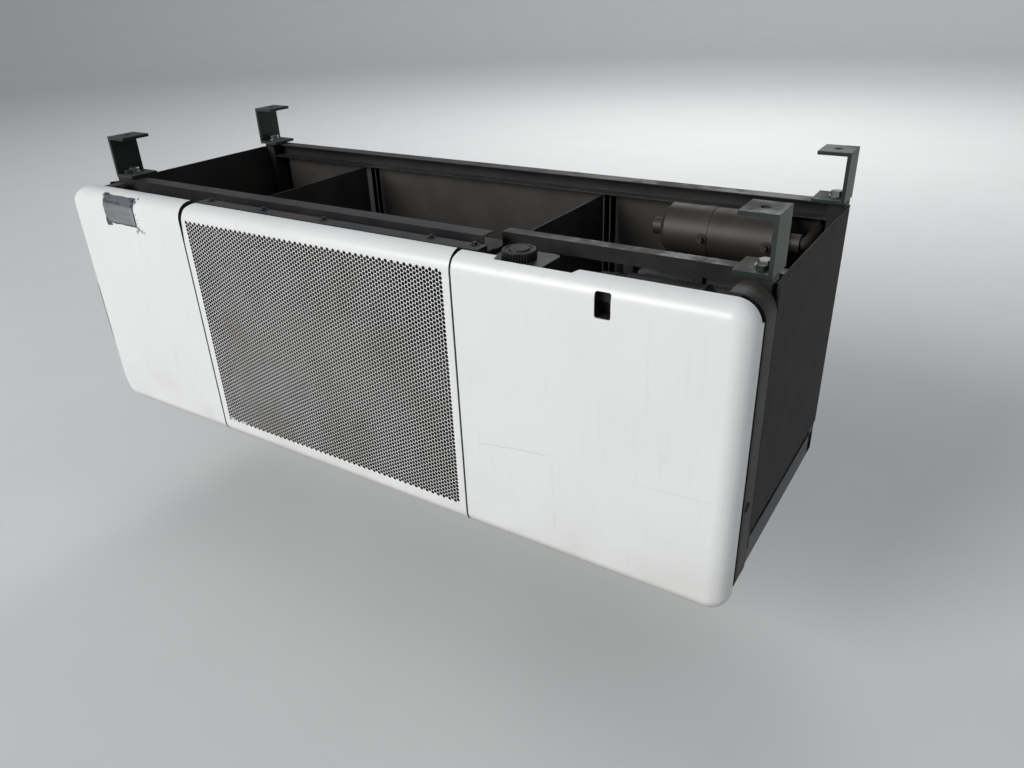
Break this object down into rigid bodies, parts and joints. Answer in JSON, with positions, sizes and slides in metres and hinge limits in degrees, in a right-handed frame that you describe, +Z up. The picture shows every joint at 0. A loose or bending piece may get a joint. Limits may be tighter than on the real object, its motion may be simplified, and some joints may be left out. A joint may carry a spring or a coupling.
{
  "type": "underfloor truck refrigeration unit",
  "caption": "Wide white refrigeration unit that hangs under a truck's load body, with a perforated centre cover, two drop-down doors and fans behind its condenser.",
  "frame": {"origin": "centre of the four hanger holes, on the hangers' top faces", "axes": "+X along the truck, +Y in under the floor away from the front covers, +Z up"},
  "size_m": [1.885, 0.7295, 0.757],
  "materials": {
    "cover_paint": "gloss",
    "hoop_paint": "satin",
    "frame_paint": "satin",
    "hanger_paint": "satin",
    "bright_steel": "zinc plated",
    "black_plastic": "matte",
    "patch_tape": "matte",
    "edge_strip": "satin",
    "coil_fins": "dull",
    "engine_iron": "painted",
    "tank_plastic": "satin",
    "muffler_steel": "heat stained",
    "battery_case": "matte",
    "box_paint": "satin",
    "tank_paint": "gloss"
  },
  "bodies": {
    "unit": {"centre_cover": "cover_paint", "condenser_grille": "cover_paint", "left_hinge_brackets": "bright_steel", "right_hinge_brackets": "bright_steel", "front_lower_rail": "frame_paint", "rear_lower_rail": "frame_paint", "front_upper_rail": "frame_paint", "rear_upper_rail": "frame_paint", "engine_bay_tie": "frame_paint", "cross_members": "frame_paint", "left_posts": "frame_paint", "right_posts": "frame_paint", "left_end_hoop": "hoop_paint", "right_end_hoop": "hoop_paint", "left_end_panel": "hoop_paint", "right_end_panel": "hoop_paint", "left_bulkhead": "frame_paint", "right_bulkhead": "frame_paint", "coil_top_rail": "frame_paint", "left_front_hanger": "hanger_paint", "left_rear_hanger": "hanger_paint", "right_front_hanger": "hanger_paint", "right_rear_hanger": "hanger_paint", "hanger_pads": "black_plastic", "left_fan_ring": "black_plastic", "right_fan_ring": "black_plastic", "condenser_coil": "coil_fins", "radiator_core": "coil_fins", "fan_shroud": "black_plastic", "left_fan_motor": "frame_paint", "right_fan_motor": "frame_paint", "engine": "engine_iron", "compressor": "engine_iron", "expansion_tank": "tank_plastic", "filler_cap": "black_plastic", "air_filter": "black_plastic", "muffler": "muffler_steel", "battery": "battery_case", "battery_tray": "frame_paint", "control_box": "box_paint", "receiver_tank": "tank_paint", "left_floor_pan": "frame_paint", "right_floor_pan": "frame_paint", "left_rear_panel": "hoop_paint", "right_rear_panel": "hoop_paint", "centre_rear_panel": "hoop_paint", "cover_straps": "frame_paint", "tank_shelf": "frame_paint", "engine_bay_rail": "frame_paint"},
    "left_door": {"left_door": "cover_paint", "left_latch": "black_plastic", "latch_patch": "patch_tape", "left_edge_strip": "edge_strip"},
    "right_door": {"right_door": "cover_paint", "right_latch": "black_plastic"},
    "left_fan": {"left_fan": "black_plastic"},
    "right_fan": {"right_fan": "black_plastic"}
  },
  "joints": [
    {"name": "left_door_hinge", "type": "hinge", "parent": "unit", "child": "left_door", "pos_m": [-0.72, -0.388, -0.717], "axis": [1, 0, 0], "range_deg": [0, 90]},
    {"name": "right_door_hinge", "type": "hinge", "parent": "unit", "child": "right_door", "pos_m": [0.63, -0.388, -0.717], "axis": [1, 0, 0], "range_deg": [0, 90]},
    {"name": "left_fan_spin", "type": "hinge", "parent": "unit", "child": "left_fan", "pos_m": [-0.272, -0.164, -0.422], "axis": [0, 1, 0], "continuous": true},
    {"name": "right_fan_spin", "type": "hinge", "parent": "unit", "child": "right_fan", "pos_m": [0.124, -0.164, -0.422], "axis": [0, 1, 0], "continuous": true}
  ]
}
